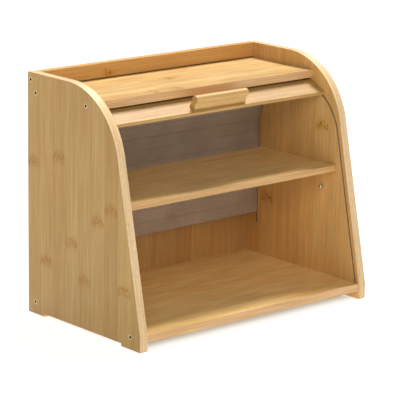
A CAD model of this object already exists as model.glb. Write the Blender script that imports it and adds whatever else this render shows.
"""Looks of the bread box with a roll top: bamboo, canvas, steel, light and camera."""
import math

import bpy
from mathutils import Matrix, Vector


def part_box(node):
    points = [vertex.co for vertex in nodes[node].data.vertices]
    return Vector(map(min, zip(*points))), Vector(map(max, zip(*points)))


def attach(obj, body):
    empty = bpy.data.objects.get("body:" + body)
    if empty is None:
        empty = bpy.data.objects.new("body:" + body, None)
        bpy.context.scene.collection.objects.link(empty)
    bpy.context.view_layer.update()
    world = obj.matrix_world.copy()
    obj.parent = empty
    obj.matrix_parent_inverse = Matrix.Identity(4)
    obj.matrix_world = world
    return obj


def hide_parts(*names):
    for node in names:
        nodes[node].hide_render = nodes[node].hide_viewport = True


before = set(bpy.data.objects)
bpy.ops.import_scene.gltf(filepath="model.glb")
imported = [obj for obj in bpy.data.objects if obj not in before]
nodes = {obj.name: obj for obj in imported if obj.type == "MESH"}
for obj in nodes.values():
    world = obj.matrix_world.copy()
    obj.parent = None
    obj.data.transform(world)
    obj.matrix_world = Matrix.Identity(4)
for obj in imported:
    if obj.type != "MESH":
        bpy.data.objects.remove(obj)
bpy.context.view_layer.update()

MM = 0.001

# Places worked out from the frame. The side panels are mirror images about X = 0
panel_low, panel_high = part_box("left_side_panel")
panel_outer_x = -panel_low.x
canvas_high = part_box("curtain_backing")[1]
slat_names = sorted(name for name in nodes if name.startswith("slat_"))


# ---------------------------------------------------------------------------
# Node trees
# ---------------------------------------------------------------------------

def linear(*srgb):
    """A colour given as sRGB numbers from 0 to 255, as linear RGBA."""
    def channel(c):
        c = c / 255
        return c / 12.92 if c <= 0.04045 else ((c + 0.055) / 1.055) ** 2.4
    return (*(channel(c) for c in srgb), 1.0)


class Tree:
    """Short calls that build a node tree. A value may be a number, a tuple or a socket."""

    def __init__(self, tree):
        self.tree = tree

    def add(self, kind, inputs=(), **settings):
        node = self.tree.nodes.new(kind)
        for name, value in settings.items():
            setattr(node, name, value)
        for key, value in dict(inputs).items():
            self.put(node.inputs[key], value)
        return node

    def put(self, socket, value):
        if isinstance(value, bpy.types.NodeSocket):
            self.tree.links.new(value, socket)
        else:
            socket.default_value = value

    def math(self, operation, a, b=0.0):
        return self.add("ShaderNodeMath", {0: a, 1: b}, operation=operation).outputs[0]

    def plus(self, a, b):
        return self.math("ADD", a, b)

    def minus(self, a, b):
        return self.math("SUBTRACT", a, b)

    def times(self, a, b):
        return self.math("MULTIPLY", a, b)

    def blend(self, *parts):
        """The sum of values, each times its weight: parts are (value, weight)."""
        total = self.times(*parts[0])
        for value, weight in parts[1:]:
            total = self.plus(total, self.times(value, weight))
        return total

    def ramp(self, value, low, high, to_low=0.0, to_high=1.0, smooth=True):
        """Maps low..high to to_low..to_high, held at both ends."""
        node = self.add("ShaderNodeMapRange", {"Value": value, "From Min": low, "From Max": high,
                                               "To Min": to_low, "To Max": to_high},
                        interpolation_type="SMOOTHSTEP" if smooth else "LINEAR")
        return node.outputs["Result"]

    def split(self, vector):
        return self.add("ShaderNodeSeparateXYZ", {0: vector}).outputs

    def join(self, x, y, z):
        return self.add("ShaderNodeCombineXYZ", {0: x, 1: y, 2: z}).outputs[0]

    def mix(self, factor, a, b, blend="MIX"):
        node = self.add("ShaderNodeMix", data_type="RGBA", blend_type=blend)
        self.put(node.inputs[0], factor)
        self.put(node.inputs[6], a)
        self.put(node.inputs[7], b)
        return node.outputs[2]

    def tint(self, colour, by):
        return self.mix(1.0, colour, by, "MULTIPLY")

    def noise(self, vector, detail, scale=1.0):
        node = self.add("ShaderNodeTexNoise", {"Vector": vector, "Scale": scale, "Detail": detail,
                                               "Roughness": 0.5})
        return node.outputs["Fac"]

    def random(self, vector):
        """Three random numbers for each whole-number vector."""
        node = self.add("ShaderNodeTexWhiteNoise", {"Vector": vector}, noise_dimensions="3D")
        return self.split(node.outputs["Color"])

    def bump(self, height, strength, distance):
        node = self.add("ShaderNodeBump", {"Height": height, "Strength": strength,
                                           "Distance": distance})
        return node.outputs[0]


def material(name, surface):
    """A new material whose tree is built by surface(tree, shader)."""
    made = bpy.data.materials.new(name)
    made.use_nodes = True
    made.node_tree.nodes.clear()
    tree = Tree(made.node_tree)
    shader = tree.add("ShaderNodeBsdfPrincipled")
    surface(tree, shader)
    output = tree.add("ShaderNodeOutputMaterial")
    tree.put(output.inputs["Surface"], shader.outputs[0])
    return made


def place_of(tree):
    """Position in the row frame at rest, in metres, and the way the face looks."""
    coordinates = tree.add("ShaderNodeTexCoord")
    return coordinates.outputs["Object"], coordinates.outputs["Normal"]


# ---------------------------------------------------------------------------
# Bamboo
# ---------------------------------------------------------------------------

# Streaks in the wood: noise cells per metre along and across the grain, the noise's detail,
# and an offset that keeps one kind from repeating another
STREAKS = {
    "broad": (4.0, 75.0, 2.0, 3.0),
    "bundle": (7.0, 480.0, 2.5, 11.0),
    "fibre": (14.0, 900.0, 2.0, 17.0),
    "hair": (30.0, 2600.0, 1.0, 29.0),
    "cloud": (17.0, 62.0, 3.0, 41.0),
    "dash": (120.0, 1300.0, 0.0, 57.0),
    "stain": (8.0, 260.0, 2.0, 71.0),
}
GREENISH, REDDISH = (0.975, 1.01, 0.98, 1.0), (1.04, 0.985, 0.80, 1.0)
DASH_COLOUR = linear(150, 104, 60)
GLUE_COLOUR = linear(126, 88, 50)
SEAM_DRIFT = 1.2 * MM        # how far a seam between strips wanders
GLUE_LINE = 0.016            # half width of a glue line, as a share of a strip
FLECK_COLOUR = linear(156, 92, 6)
KNOT_TINT = (0.94, 0.84, 0.50, 1.0)
SOOT_TINT = (0.40, 0.22, 0.09, 1.0)
KNOT_BOW = 4 * MM            # how far a knot's ends lie behind its middle
KNOT_FLECKS = 7 * MM         # how far its flecks and its warm ground reach along the grain
KNOT_GROUND = 13 * MM
CREVICE = 14 * MM            # how near another face of the same piece darkens the wood
STRIP_JUMP = 31.0            # noise cells by which the streaks may start anew in the next strip
STRIPS_BELOW = 20.0          # strips counted below the middle, so that no strip's number is negative
PLIES_FROM = 0.5013          # metres below zero where counting the plies starts


def strips_and_plies(tree, along, across, depth, shift, strip, ply, seed):
    """The strip's number, with the share of the strip after the point, and three random numbers
    for each strip and ply."""
    drift = tree.noise(tree.join(tree.times(along, 9.0), tree.times(across, 30.0), seed), 1.0)
    bent = tree.plus(across, tree.times(drift, SEAM_DRIFT))
    row = tree.math("DIVIDE", tree.plus(bent, shift), strip * MM)
    layer = tree.math("FLOOR", tree.math("DIVIDE", tree.plus(depth, PLIES_FROM), ply * MM))
    return row, tree.random(tree.join(tree.math("FLOOR", row), layer, seed))


def streaks(tree, kind, along, across, depth, chance, seed):
    """Noise stretched along the grain, which starts anew in each strip."""
    coarse, fine, detail, offset = STREAKS[kind]
    return tree.noise(tree.join(tree.blend((along, coarse), (chance, STRIP_JUMP)),
                                tree.times(across, fine),
                                tree.plus(tree.times(depth, fine), offset + seed)), detail)


def knot(tree, along, across, at, strip, seed):
    """Where a bamboo joint crosses one strip: its flecks, and the warm ground round them."""
    u = tree.minus(along, at[0])
    v = tree.math("DIVIDE", tree.minus(across, at[1]), strip * 0.5)
    u = tree.plus(u, tree.times(tree.math("ABSOLUTE", v), KNOT_BOW))
    side = tree.math("POWER", tree.math("ABSOLUTE", v), 8.0)

    def ring(reach):
        far = tree.math("DIVIDE", u, reach)
        return tree.math("SQRT", tree.plus(tree.times(far, far), side))

    flecks = tree.noise(tree.join(tree.times(along, 230.0), tree.times(across, 330.0), seed), 1.5)
    flecks = tree.times(tree.ramp(flecks, 0.45, 0.60),
                        tree.ramp(ring(KNOT_FLECKS), 0.4, 1.25, 1.0, 0.0))
    return flecks, tree.ramp(ring(KNOT_GROUND), 0.1, 1.2, 1.0, 0.0)


def with_knots(tree, colour, along, across, knots, shift, strip, seed):
    """The colour with knots, each moved to the middle of the strip that it is in."""
    flecks = ground = 0.0
    for number, (up, over) in enumerate(knots):
        over = (math.floor((over + shift) / (strip * MM)) + 0.5) * strip * MM - shift
        fleck, warm = knot(tree, along, across, (up, over), strip * MM, seed + 5.0 * number)
        flecks = tree.math("MAXIMUM", flecks, fleck)
        ground = tree.math("MAXIMUM", ground, warm)
    colour = tree.mix(tree.times(ground, 0.75), colour, tree.tint(colour, KNOT_TINT))
    return tree.mix(tree.times(flecks, 0.68), colour, FLECK_COLOUR)


def bamboo(name, axes, light, dark, edge=None, strip=20.0, start=5.0, ply=4.0, knots=(), seed=0.0,
           figure=0.08, vary=0.0):
    """Laminated bamboo between the colours light and dark.

    axes names the way of the grain, across the strips and through the board, such as "zyx".
    edge is a pair of colours for the sawn edges. strip and ply are in mm, and a seam between
    strips lies start mm from the middle. knots are (along, across) places in metres. figure is
    how much broad clouds show, and vary is how much one piece differs from the next that has
    the same material."""

    def surface(tree, shader):
        place, normal = place_of(tree)
        xyz = dict(zip("xyz", tree.split(place)))
        along, across, depth = (xyz[axis] for axis in axes)
        shift = (STRIPS_BELOW * strip - start) * MM
        row, chance = strips_and_plies(tree, along, across, depth, shift, strip, ply, seed)
        streak = {kind: streaks(tree, kind, along, across, depth, chance[1], seed)
                  for kind in STREAKS}
        dash = tree.ramp(streak["dash"], 0.60, 0.74)

        # Strips, plies and streaks lie between the light and the dark colour
        shade = tree.blend((chance[0], 0.38),
                           (tree.ramp(streak["broad"], 0.32, 0.68), 0.18),
                           (tree.ramp(streak["bundle"], 0.34, 0.66), 0.38))
        shade = tree.plus(shade, tree.ramp(streak["cloud"], 0.36, 0.64, -figure, figure))
        colour = tree.mix(shade, linear(*light), linear(*dark))
        if vary:
            # Each piece with this material is a little lighter or darker
            piece = tree.add("ShaderNodeObjectInfo").outputs["Random"]
            colour = tree.tint(colour, tree.ramp(piece, 0.0, 1.0, 1.0 - vary, 1.0 + vary,
                                                 smooth=False))

        # Some strips and streaks lean to green, some to red
        lean = tree.blend((chance[2], 0.35),
                          (tree.ramp(streak["broad"], 0.36, 0.64), 0.25),
                          (tree.ramp(streak["stain"], 0.38, 0.62), 0.40))
        colour = tree.tint(colour, tree.mix(lean, GREENISH, REDDISH))

        # Fibres, hair lines and short dark dashes
        fine = tree.times(tree.ramp(streak["fibre"], 0.34, 0.66, 0.90, 1.09, smooth=False),
                          tree.ramp(streak["hair"], 0.25, 0.75, 0.95, 1.045, smooth=False))
        colour = tree.tint(colour, fine)
        colour = tree.mix(tree.times(dash, 0.16), colour, DASH_COLOUR)

        # Glue lines between strips
        part = tree.math("FRACT", row)
        rim = tree.math("MINIMUM", part, tree.minus(1.0, part))
        glue = tree.ramp(rim, GLUE_LINE / 4, GLUE_LINE, 1.0, 0.0)
        colour = tree.mix(tree.times(glue, 0.20), colour, GLUE_COLOUR)
        if knots:
            colour = with_knots(tree, colour, along, across, knots, shift, strip, seed)

        if edge is not None:
            # Sawn edges show the plies as fine lines along the board
            lines = tree.noise(tree.join(tree.times(depth, 900.0), tree.times(across, 10.0),
                                         tree.times(along, 10.0)), 2.0)
            sawn = tree.mix(tree.ramp(lines, 0.3, 0.72), linear(*edge[0]), linear(*edge[1]))
            facing = dict(zip("xyz", tree.split(normal)))[axes[2]]
            on_face = tree.ramp(tree.math("ABSOLUTE", facing), 0.55, 0.9)
            colour = tree.mix(on_face, tree.tint(sawn, fine), colour)

        # Grooves and holes are darker
        open_share = tree.add("ShaderNodeAmbientOcclusion", {"Distance": CREVICE}, samples=8,
                              only_local=True).outputs["AO"]
        crevice = tree.ramp(open_share, 0.10, 0.60, 0.90, 0.0)
        tree.put(shader.inputs["Base Color"],
                 tree.mix(crevice, colour, tree.tint(colour, SOOT_TINT)))

        # A satin lacquer over fibres that can just be felt
        tree.put(shader.inputs["Roughness"],
                 tree.ramp(streak["hair"], 0.2, 0.8, 0.41, 0.53, smooth=False))
        height = tree.blend((streak["hair"], 0.5), (streak["fibre"], 0.5), (glue, -0.8),
                            (dash, -0.5))
        tree.put(shader.inputs["Normal"], tree.bump(height, 0.35, 0.12 * MM))
        shader.inputs["Specular IOR Level"].default_value = 0.42
        shader.inputs["Coat Weight"].default_value = 0.10
        shader.inputs["Coat Roughness"].default_value = 0.30

    return material(name, surface)


# ---------------------------------------------------------------------------
# Metal and canvas
# ---------------------------------------------------------------------------

SOCKET_FADE = 0.2 * MM       # over which a screw's head turns into the black of its socket


def metal(name, colour, roughness, brushed, socket=None):
    """Plated steel. Deeper than socket, measured in from the side panels' outer faces, it is
    the black inside of a screw's socket."""
    bright = linear(*colour)
    dull = (*(0.8 * c for c in bright[:3]), 1.0)

    def surface(tree, shader):
        place, _ = place_of(tree)
        grain = tree.noise(place, 2.0, scale=brushed)
        plate = tree.mix(tree.ramp(grain, 0.3, 0.7), bright, dull)
        if socket is not None:
            x = tree.math("ABSOLUTE", tree.split(place)[0])
            mouth = panel_outer_x - socket
            inside = tree.ramp(x, mouth - SOCKET_FADE, mouth, 1.0, 0.0)
            plate = tree.mix(inside, plate, linear(18, 15, 12))
        tree.put(shader.inputs["Base Color"], plate)
        tree.put(shader.inputs["Roughness"],
                 tree.ramp(grain, 0.2, 0.8, roughness * 0.8, roughness * 1.25))
        shader.inputs["Metallic"].default_value = 1.0

    return material(name, surface)


THREAD = 0.9 * MM            # from one thread of the canvas to the next


def canvas_weave():
    """Plain-woven cotton. The strips carry their place on the flat cloth, in metres."""
    def surface(tree, shader):
        flat = tree.add("ShaderNodeAttribute", attribute_name="cloth").outputs["Vector"]
        u, v = (tree.math("DIVIDE", place, THREAD) for place in list(tree.split(flat))[:2])
        warp, weft = (tree.math("ABSOLUTE", tree.math("SINE", tree.times(place, math.pi)))
                      for place in (u, v))
        cell = tree.plus(tree.math("FLOOR", u), tree.math("FLOOR", v))
        over = tree.math("MODULO", tree.math("ABSOLUTE", cell), 2.0)
        height = tree.blend((warp, over), (weft, tree.minus(1.0, over)))
        slub = tree.noise(tree.join(tree.times(u, 0.05), tree.times(v, 0.9), over), 2.0)
        cloud = tree.noise(flat, 3.0, scale=22.0)
        tone = tree.blend((slub, 0.6), (cloud, 0.4))
        threads = tree.mix(tree.ramp(tone, 0.36, 0.64), linear(200, 183, 164),
                           linear(178, 160, 140))
        between = tree.ramp(height, 0.15, 0.75, 0.45, 0.0)
        tree.put(shader.inputs["Base Color"], tree.mix(between, threads, linear(112, 98, 90)))
        tree.put(shader.inputs["Normal"], tree.bump(height, 0.6, 0.3 * MM))
        shader.inputs["Roughness"].default_value = 0.92
        shader.inputs["Sheen Weight"].default_value = 0.25
        shader.inputs["Sheen Roughness"].default_value = 0.5

    return material("cotton_canvas", surface)


# ---------------------------------------------------------------------------
# Rounded edges on the CAD nodes, with modifiers only
# ---------------------------------------------------------------------------

def ready_group():
    """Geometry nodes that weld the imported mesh, drop its stored normals and shade it smooth."""
    group = bpy.data.node_groups.new("ready", "GeometryNodeTree")
    for way in ("INPUT", "OUTPUT"):
        group.interface.new_socket("Geometry", in_out=way, socket_type="NodeSocketGeometry")
    tree = Tree(group)
    start = tree.add("NodeGroupInput")
    merged = tree.add("GeometryNodeMergeByDistance", {"Geometry": start.outputs[0],
                                                      "Distance": 0.01 * MM})
    plain = tree.add("GeometryNodeSetMeshNormal", {"Mesh": merged.outputs[0]}, mode="SHARPNESS")
    smooth = tree.add("GeometryNodeSetShadeSmooth", {"Geometry": plain.outputs[0]})
    end = tree.add("NodeGroupOutput")
    tree.put(end.inputs[0], smooth.outputs[0])
    return group


def round_edges(obj, width, segments):
    """Rounds the sharp edges of a CAD node without touching its mesh."""
    ready = obj.modifiers.new("ready", "NODES")
    ready.node_group = bpy.data.node_groups.get("ready") or ready_group()
    flat = obj.modifiers.new("flat", "DECIMATE")
    flat.decimate_type = "DISSOLVE"
    flat.angle_limit = math.radians(0.2)
    bevel = obj.modifiers.new("bevel", "BEVEL")
    bevel.width = width
    bevel.segments = segments
    bevel.limit_method = "ANGLE"
    bevel.angle_limit = math.radians(40.0)
    bevel.miter_outer = "MITER_ARC"
    shading = obj.modifiers.new("shading", "WEIGHTED_NORMAL")
    shading.keep_sharp = False
    shading.weight = 50


def dress(name, made, rounding, segments=3):
    """Gives a CAD node its material, and rounds its edges by that many mm."""
    obj = nodes[name]
    if not obj.material_slots:
        obj.data.materials.append(made)
    for slot in obj.material_slots:
        slot.material = made
    round_edges(obj, rounding * MM, segments)


# ---------------------------------------------------------------------------
# Stage: camera, lights, floor
# ---------------------------------------------------------------------------

CAMERA_AT = (-1.888, -2.1609, 0.862)
CAMERA_YAW, CAMERA_PITCH, CAMERA_ROLL = 0.71777, 0.24469, 0.01554
CAMERA_LENS = 198.5

WORLD_LIGHT = 0.24
SUN_FROM, SUN_STRENGTH, SUN_ANGLE = (0.46, 0.27, 1.0), 4.1, 18.0
SUN_COLOUR = (1.0, 0.985, 0.95)
FILL_AT, FILL_TOWARD, FILL_SIZE, FILL_WATTS = (-1.2, -2.1, 1.65), (0, 0, 0.15), (1.8, 0.9), 22.0

FLOOR_HALF = 12.0
FLOOR_DROP = 0.2 * MM        # keeps the floor and the feet's soles out of one plane
FLOOR_GREYS = (0.34, 0.34, 0.34, 1.0), (0.37, 0.37, 0.37, 1.0)
GLOW_UNDER, GLOW_OPEN = 0.25, 0.60       # the floor's glow under the box, and what open floor adds
GLOW_FROM, GLOW_TO = -35 * MM, 5 * MM    # where it comes in, past the box's outline


def make_camera():
    yaw, pitch, roll = CAMERA_YAW, CAMERA_PITCH, CAMERA_ROLL
    forward = Vector((math.sin(yaw) * math.cos(pitch), math.cos(yaw) * math.cos(pitch),
                      -math.sin(pitch)))
    right = Vector((math.cos(yaw), -math.sin(yaw), 0.0))
    up = right.cross(forward)
    right, up = (right * math.cos(roll) + up * math.sin(roll),
                 up * math.cos(roll) - right * math.sin(roll))
    camera = bpy.data.objects.new("camera", bpy.data.cameras.new("camera"))
    camera.data.lens = CAMERA_LENS
    camera.data.sensor_width = 36.0
    camera.data.clip_start = 0.05
    turn = Matrix((right, up, -forward)).transposed().to_4x4()
    camera.matrix_world = Matrix.Translation(CAMERA_AT) @ turn
    bpy.context.scene.collection.objects.link(camera)
    bpy.context.scene.camera = camera


def place_light(light, at, toward):
    obj = bpy.data.objects.new(light.name, light)
    obj.location = at
    obj.rotation_mode = "QUATERNION"
    obj.rotation_quaternion = (Vector(toward) - obj.location).to_track_quat("-Z", "Y")
    bpy.context.scene.collection.objects.link(obj)


def make_lights():
    world = bpy.data.worlds.new("studio")
    world.use_nodes = True
    background = world.node_tree.nodes["Background"]
    background.inputs["Color"].default_value = (1.0, 1.0, 1.0, 1.0)
    background.inputs["Strength"].default_value = WORLD_LIGHT
    bpy.context.scene.world = world

    key = bpy.data.lights.new("key", "SUN")
    key.energy = SUN_STRENGTH
    key.angle = math.radians(SUN_ANGLE)
    key.color = SUN_COLOUR
    place_light(key, SUN_FROM, (0, 0, 0))

    fill = bpy.data.lights.new("fill", "AREA")
    fill.shape = "RECTANGLE"
    fill.size, fill.size_y = FILL_SIZE
    fill.energy = FILL_WATTS
    place_light(fill, FILL_AT, FILL_TOWARD)


def make_floor():
    """A pale floor that glows like a lit table, less so underneath the box."""
    def surface(tree, shader):
        place, _ = place_of(tree)
        tree.put(shader.inputs["Base Color"],
                 tree.mix(tree.noise(place, 3.0, scale=3.0), *FLOOR_GREYS))
        shader.inputs["Roughness"].default_value = 0.9
        shader.inputs["Emission Color"].default_value = (1.0, 1.0, 1.0, 1.0)
        outline = (panel_low.x, panel_outer_x), (panel_low.y, panel_high.y)
        reaches = []
        for value, (low, high) in zip(tree.split(place), outline):
            middle, half = (low + high) / 2, (high - low) / 2
            from_middle = tree.math("ABSOLUTE", tree.minus(value, middle))
            reaches.append(tree.ramp(from_middle, half + GLOW_FROM, half + GLOW_TO))
        outside = tree.math("MAXIMUM", *reaches)
        tree.put(shader.inputs["Emission Strength"],
                 tree.plus(tree.times(outside, GLOW_OPEN), GLOW_UNDER))

    mesh = bpy.data.meshes.new("floor")
    half = FLOOR_HALF
    mesh.from_pydata([(-half, -half, 0), (half, -half, 0), (half, half, 0), (-half, half, 0)],
                     [], [(0, 1, 2, 3)])
    mesh.materials.append(material("floor", surface))
    floor = bpy.data.objects.new("floor", mesh)
    floor.location.z = -FLOOR_DROP
    bpy.context.scene.collection.objects.link(floor)


# ---------------------------------------------------------------------------
# The wooden pieces and the metal
# ---------------------------------------------------------------------------

# Places of the bamboo's own joints, (along, across) the grain, in metres
LEFT_KNOTS = [(0.225, 0.051), (0.210, 0.105), (0.175, -0.057), (0.155, -0.030), (0.115, 0.024),
              (0.080, 0.078), (0.075, -0.084), (0.070, -0.003)]
RIGHT_KNOTS = [(0.232, -0.030), (0.110, 0.060)]
TOP_KNOTS = [(-0.085, -0.005), (-0.046, -0.005), (-0.010, 0.055), (-0.130, 0.085)]
RAIL_KNOTS = [(-0.074, 0.317)]

# Colours of the sawn edges
PANEL_EDGE = (241, 209, 162), (220, 184, 132)
BOARD_EDGE = (228, 184, 128), (206, 158, 100)
SHELF_EDGE = (216, 170, 112), (192, 146, 84)


def dress_case():
    dress("left_side_panel",
          bamboo("bamboo_left_panel", "zyx", (196, 159, 93), (171, 124, 54), edge=PANEL_EDGE,
                 strip=27.0, start=10.5, seed=1.0, knots=LEFT_KNOTS), 0.5)
    dress("right_side_panel",
          bamboo("bamboo_right_panel", "zyx", (238, 196, 132), (214, 164, 100), edge=PANEL_EDGE,
                 strip=27.0, seed=2.0, knots=RIGHT_KNOTS), 0.5)
    dress("top_board",
          bamboo("bamboo_top_board", "xyz", (226, 188, 126), (194, 146, 84), edge=BOARD_EDGE,
                 figure=0.2, seed=10.0, knots=TOP_KNOTS), 0.8)
    dress("bottom_board",
          bamboo("bamboo_bottom_board", "xyz", (250, 220, 162), (234, 192, 126), edge=BOARD_EDGE,
                 figure=0.25, seed=11.0), 0.8)
    dress("middle_shelf",
          bamboo("bamboo_middle_shelf", "xyz", (240, 202, 142), (218, 172, 108), edge=SHELF_EDGE,
                 figure=0.2, seed=12.0), 0.8)
    dress("back_rail",
          bamboo("bamboo_back_rail", "xzy", (228, 180, 113), (206, 154, 88), strip=12.5,
                 seed=13.0, knots=RAIL_KNOTS), 0.6)
    dress("back_panel",
          bamboo("bamboo_back_panel", "zxy", (214, 172, 112), (190, 142, 84), seed=20.0), 0.3)


def dress_roll_top():
    light, dark = (200, 162, 99), (173, 130, 72)
    dress("lead_rail", bamboo("bamboo_lead_rail", "xyz", light, dark, strip=40.0, figure=0.15,
                              seed=30.0), 0.6)
    dress("handle", bamboo("bamboo_handle", "xyz", (214, 174, 112), (190, 146, 84), strip=14.0,
                           ply=6.0, seed=31.0), 0.8)
    slat = bamboo("bamboo_slat", "xyz", light, dark, strip=60.0, vary=0.12, seed=32.0)
    for name in slat_names:
        dress(name, slat, 0.3)


def dress_metal():
    steel = metal("plated_steel", (226, 206, 158), 0.55, 900.0, socket=0.35 * MM)
    polished = metal("polished_steel", (226, 226, 228), 0.14, 500.0)
    for name in ("top_board_screws", "bottom_board_screws", "back_rail_screws", "handle_screws"):
        dress(name, steel, 0.25, segments=2)
    for name in ("shelf_pins_upper", "shelf_pins_lower"):
        dress(name, polished, 0.3, segments=2)


# ---------------------------------------------------------------------------
# The canvas behind the slats
# ---------------------------------------------------------------------------

# The curtain's own measures, as in the part's source
SLAT_PITCH = 17 * MM
SLAT_W = 15.2 * MM
LEAD_HALF = 16 * MM          # half the lead rail's width
FIRST_GAP = 1.8 * MM         # between the lead rail and the first slat
CANVAS_START = 4 * MM        # where the canvas starts, behind the lead rail's middle
CURTAIN_TURN = 80 * MM       # about the radius of its turns

CLOTH_GAP = 0.5 * MM         # from a slat's inner face to the middle of the canvas
CLOTH_T = 0.7 * MM
CLOTH_DIP = 0.3 * MM         # how far the canvas sinks into the gap between two slats
CLOTH_TRIM = 0.06 * MM       # taken off where strips meet, so that neighbours never touch
CLOTH_COLUMNS = 24           # faces along a strip
LEAD_FLAT = 9 * MM           # a point on the lead rail's canvas where it lies flat
LEAD_BEND = 1.5 * MM         # before the lead rail's edge the canvas starts to drop
LEAD_DROP = 0.7 * MM         # to where the first slat's canvas lies
SECTION_TURNS = 1800         # ways that are tried to find the thin way of a slat


def section_frame(name):
    """Of a slat's section in the plane X = 0: the middle of its inner face, the way along the
    curtain and the way out."""
    inside = Vector((0.0, canvas_high.y - CURTAIN_TURN, canvas_high.z - CURTAIN_TURN))
    corners = {(round(v.co.y, 6), round(v.co.z, 6)) for v in nodes[name].data.vertices}
    points = [Vector((0.0, y, z)) for y, z in sorted(corners)]
    middle = sum(points, Vector()) / len(points)
    outward, thinnest = None, math.inf
    for step in range(SECTION_TURNS):
        angle = math.pi * step / SECTION_TURNS
        way = Vector((0.0, math.cos(angle), math.sin(angle)))
        spread = [p.dot(way) for p in points]
        if max(spread) - min(spread) < thinnest:
            outward, thinnest = way, max(spread) - min(spread)
    if outward.dot(middle - inside) <= 0:
        outward = -outward
    tangent = Vector((0.0, outward.z, -outward.y))
    along = [p.dot(tangent) for p in points]
    inner = tangent * (max(along) + min(along)) / 2 + outward * min(p.dot(outward) for p in points)
    return inner, tangent, outward


def strip_mesh(name, node, half_x, profile, start):
    """A closed strip of cloth. profile lists (along, dip) across the strip, from one edge to
    the other, and start is where its middle lies on the flat cloth."""
    inner, tangent, outward = section_frame(node)
    xs = [half_x * (2 * c / CLOTH_COLUMNS - 1) for c in range(CLOTH_COLUMNS + 1)]
    vertices, flat, faces = [], [], []
    for side in (-0.5, 0.5):
        for x in xs:
            for along, dip in profile:
                at = inner + tangent * along + outward * (dip - CLOTH_GAP + side * CLOTH_T)
                vertices.append((x, at.y, at.z))
                flat.append((x, start + along, 0.0))
    rows, columns = len(profile), len(xs)
    layer = rows * columns
    for c in range(columns - 1):
        for r in range(rows - 1):
            a = c * rows + r
            quad = (a, a + 1, a + rows + 1, a + rows)
            faces.append(quad)
            faces.append(tuple(layer + q for q in reversed(quad)))
    rim = [c * rows for c in range(columns)]
    rim += [(columns - 1) * rows + r for r in range(1, rows)]
    rim += [c * rows + rows - 1 for c in range(columns - 2, -1, -1)]
    rim += range(rows - 2, 0, -1)
    for a, b in zip(rim, rim[1:] + rim[:1]):
        faces.append((a, b, layer + b, layer + a))
    mesh = bpy.data.meshes.new(name)
    mesh.from_pydata(vertices, [], faces)
    mesh.attributes.new("cloth", "FLOAT_VECTOR", "POINT").data.foreach_set(
        "vector", [number for place in flat for number in place])
    mesh.update()
    return mesh


def hang_strip(name, node, body, made, profile, start):
    """A strip of the canvas that rides on a body, behind the body's own slat or rail."""
    half_x = canvas_high.x
    obj = bpy.data.objects.new(name, strip_mesh(name, node, half_x, profile, start))
    obj.data.materials.append(made)
    bpy.context.scene.collection.objects.link(obj)
    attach(obj, body)
    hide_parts("curtain_backing")


def hang_canvas():
    """The canvas behind the slats, in strips that turn with them."""
    made = canvas_weave()
    half = SLAT_PITCH / 2 - CLOTH_TRIM
    gap = half - SLAT_W / 2
    rear = [(half * 0.5, 0.0), (half - gap * 1.2, 0.0), (half - gap * 0.5, CLOTH_DIP * 0.7),
            (half, CLOTH_DIP)]
    profile = [(-along, dip) for along, dip in reversed(rear)] + [(0.0, 0.0)] + rear
    for number, name in enumerate(slat_names, 1):
        hang_strip("canvas_strip_%02d" % number, name, name + "_body", made, profile,
                   SLAT_PITCH * number)
    lead = [(CANVAS_START, 0.0), (LEAD_FLAT, 0.0), (LEAD_HALF - LEAD_BEND, 0.0),
            (LEAD_HALF - CLOTH_DIP, -CLOTH_DIP),
            (LEAD_HALF + FIRST_GAP / 2 - CLOTH_TRIM, -LEAD_DROP)]
    hang_strip("canvas_strip_lead", "lead_rail", "roll_top", made, lead,
               SLAT_PITCH - (LEAD_HALF + FIRST_GAP + SLAT_W / 2))


# ---------------------------------------------------------------------------

bpy.context.scene.view_settings.view_transform = "Standard"
make_camera()
make_lights()
make_floor()
dress_case()
dress_roll_top()
dress_metal()
hang_canvas()
